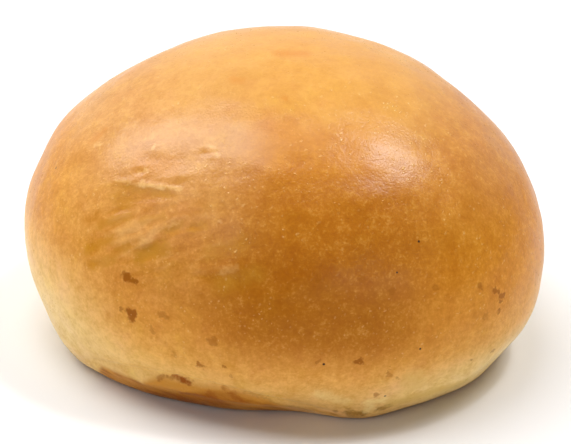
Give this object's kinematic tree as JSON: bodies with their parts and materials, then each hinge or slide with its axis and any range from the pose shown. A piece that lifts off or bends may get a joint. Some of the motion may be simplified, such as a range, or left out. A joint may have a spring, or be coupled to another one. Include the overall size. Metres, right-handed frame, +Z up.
{
  "type": "bread roll",
  "caption": "Soft round bread roll with a smooth golden glazed crust, a pale lower band, toasted freckles, a creased shoulder and a browned, folded foot on a flat base",
  "frame": {"origin": "middle of the flat base, on the surface that the roll rests on", "axes": "+Z up through the crown, +X along the roll's greatest width, -Y towards the creased front"},
  "size_m": [0.094, 0.091, 0.053],
  "materials": {
    "crust": "satin golden-brown crust, paler low on the flank and browner at the foot"
  },
  "bodies": {
    "root": {"bread_roll": "crust"}
  },
  "joints": []
}
